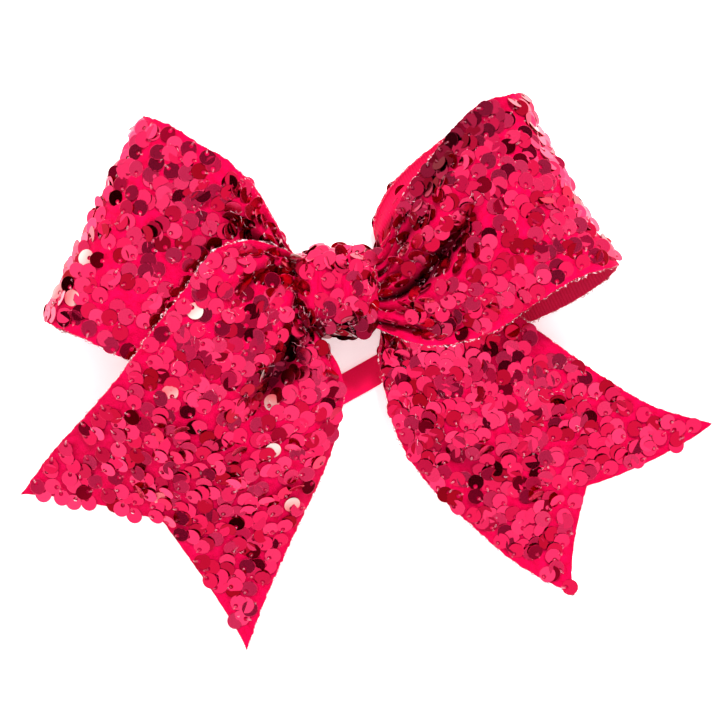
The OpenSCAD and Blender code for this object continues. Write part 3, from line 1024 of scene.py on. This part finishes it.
def node_box(name):
    """A CAD node's lowest and highest corners, in millimetres."""
    return [np.array(corner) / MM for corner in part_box(name)]


def build_lap():
    """The wrap's outer end, lapped over itself at the back of the knot."""
    low, high = node_box("knot_lap")
    patch = Patch(low, high, seed=71)
    half = (high[2] - low[2]) / 2 - 0.05
    lap = layer_object("knot_lap_cloth", patch, (-half, half), 25, 41, MATERIAL["cloth"],
                       ragged=0.12, seed=72)
    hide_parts("knot_lap")
    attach(lap, "knot")


build_knot()
for crossing_seed, (crossing_name, crossing) in enumerate(CROSSINGS.items(), 510):
    build_crossing(crossing_name, crossing, crossing_seed)
build_lap()

# ---------------------------------------------------------------- the hair tie


def build_tie():
    """The flat elastic ring: one closed band with rounded edges."""
    rings, around = 160, 12
    u = np.linspace(0, 1, rings, endpoint=False)
    p = smooth_curve(TIE_ROUTE, u)
    ahead = smooth_curve(TIE_ROUTE, (u + 0.004) % 1) - smooth_curve(TIE_ROUTE, (u - 0.004) % 1)
    across = unit(np.stack([-ahead[:, 1], ahead[:, 0], np.zeros(rings)], axis=1))
    a = np.linspace(0, 2 * np.pi, around, endpoint=False)
    wide = np.sign(np.cos(a)) * np.abs(np.cos(a)) ** 0.35 * TIE_WIDTH / 2
    tall = np.sign(np.sin(a)) * np.abs(np.sin(a)) ** 0.6 * TIE_THICKNESS / 2
    up = np.array([0, 0, 1])
    points = p[:, None, :] + across[:, None, :] * wide[None, :, None] + up * tall[None, :, None]
    i, k = np.meshgrid(np.arange(rings), np.arange(around), indexing="ij")
    n, m = (i + 1) % rings, (k + 1) % around
    faces = np.stack([i * around + k, i * around + m, n * around + m, n * around + k], axis=-1).reshape(-1, 4)
    step = np.linalg.norm(np.diff(p, axis=0, append=p[:1]), axis=1)
    run = np.concatenate([[0], np.cumsum(step)[:-1]])
    flat = np.stack([np.repeat(run, around), np.tile(wide, rings), np.zeros(rings * around)], axis=1)
    elastic = MATERIAL["elastic"]
    band = new_object("hair_tie_elastic_band", points.reshape(-1, 3), faces, elastic, [("flat", flat)])
    shade_smooth(band)
    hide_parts("hair_tie_band", "hair_tie_tunnel_run")
    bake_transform(band)


def build_tie_join():
    """The lapped end of the elastic, with two rows of small stitches across it."""
    low, high = node_box("hair_tie_join")
    length, width = JOIN_SIZE
    half = (high[2] - low[2]) / 2
    centre = (low + high) / 2
    size = np.array([length, width, 0]) / 2
    patch = Patch(centre - size, centre + size, JOIN_TURN, 0.03, 81)
    join = layer_object("hair_tie_lapped_end", patch, (-half, half), 33, 33, MATERIAL["elastic"],
                        ragged=0.05, seed=82)
    path = [(-0.7, 0, -0.12), (-0.45, 0, 0.06), (0.45, 0, 0.06), (0.7, 0, -0.12)]
    shape, faces = strand(path, 0.13)
    in_row = 7
    s = np.tile(np.linspace(0.1, 0.9, in_row), 2)
    v = np.repeat([0.22, 0.78], in_row)
    along, across, out = patch.frame_at(s, v)
    lean = np.where(np.arange(2 * in_row) % 2, 0.6, -0.6)[:, None]
    x = unit(across + lean * along)
    axes = np.stack([x, np.cross(out, x), out], axis=1)
    points, quads = place_shapes(shape, faces, patch.point(s, v, half), axes)
    stitches = new_object("hair_tie_join_stitches", points, quads, MATERIAL["elastic"])
    shade_smooth(stitches)
    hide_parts("hair_tie_join")
    for obj in (join, stitches):
        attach(obj, "hair_tie")


build_tie()
build_tie_join()

# ---------------------------------------------------------------- carried-over CAD nodes


def paint_cad_nodes():
    """Materials for the hard CAD parts that stay."""
    looks = {"binding": "nylon", "knot_glue": "glue"}
    for name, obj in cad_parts.items():
        for key, look in looks.items():
            if key in name:
                obj.data.materials.clear()
                obj.data.materials.append(MATERIAL[look])


paint_cad_nodes()

# ---------------------------------------------------------------- table, light and camera


TABLE_SIZE = 3.0
TABLE_DROP = 0.0002


def build_table():
    """The floor, just under the bow."""
    half = TABLE_SIZE / 2
    corners = [(-half, -half, 0), (half, -half, 0), (half, half, 0), (-half, half, 0)]
    mesh = bpy.data.meshes.new("table")
    mesh.from_pydata(corners, [], [(0, 1, 2, 3)])
    table = bpy.data.objects.new("table", mesh)
    bpy.context.scene.collection.objects.link(table)
    table.data.materials.append(MATERIAL["table"])
    table.location.z = -TABLE_DROP


def area_light(name, place, target, size, power):
    """A soft round light that doesn't show in reflections."""
    data = bpy.data.lights.new(name, "AREA")
    data.shape = "DISK"
    data.size = size
    data.energy = power
    light = bpy.data.objects.new(name, data)
    bpy.context.scene.collection.objects.link(light)
    light.location = place
    light.rotation_euler = (Vector(target) - Vector(place)).to_track_quat("-Z", "Y").to_euler()
    light.visible_glossy = False


def build_world():
    """White studio light all round with dark patches, which the sequins mirror."""
    world = bpy.data.worlds.new("studio")
    bpy.context.scene.world = world
    world.use_nodes = True
    tree = world.node_tree
    where = tree.nodes.new("ShaderNodeTexCoord").outputs["Generated"]
    noise = tree.nodes.new("ShaderNodeTexNoise")
    noise.inputs["Scale"].default_value = 4.5
    noise.inputs["Detail"].default_value = 0.5
    tree.links.new(where, noise.inputs["Vector"])
    ramp = tree.nodes.new("ShaderNodeValToRGB")
    for element, place, level in zip(ramp.color_ramp.elements, (0.42, 0.47), (0.01, 1)):
        element.position = place
        element.color = (level, level, level, 1)
    tree.links.new(noise.outputs["Fac"], ramp.inputs["Fac"])
    background = tree.nodes["Background"]
    tree.links.new(ramp.outputs["Color"], background.inputs["Color"])
    background.inputs["Strength"].default_value = 1.95


LENS = 200
# What the view takes in, in metres: its centre, and its width at a level over the table
VIEW_CENTRE = (-0.002, 0.0041)
VIEW_WIDTH = 0.2167
VIEW_LEVEL = 0.012


def build_camera():
    """A long lens straight above the bow."""
    data = bpy.data.cameras.new("camera")
    data.lens = LENS
    camera = bpy.data.objects.new("camera", data)
    bpy.context.scene.collection.objects.link(camera)
    height = VIEW_WIDTH * data.lens / data.sensor_width + VIEW_LEVEL
    camera.location = (*VIEW_CENTRE, height)
    bpy.context.scene.camera = camera


build_table()
build_world()
area_light("key", place=(0.1, 0.6, 0.8), target=(0, 0, 0), size=0.2, power=12)
build_camera()
bpy.context.scene.view_settings.view_transform = "Standard"
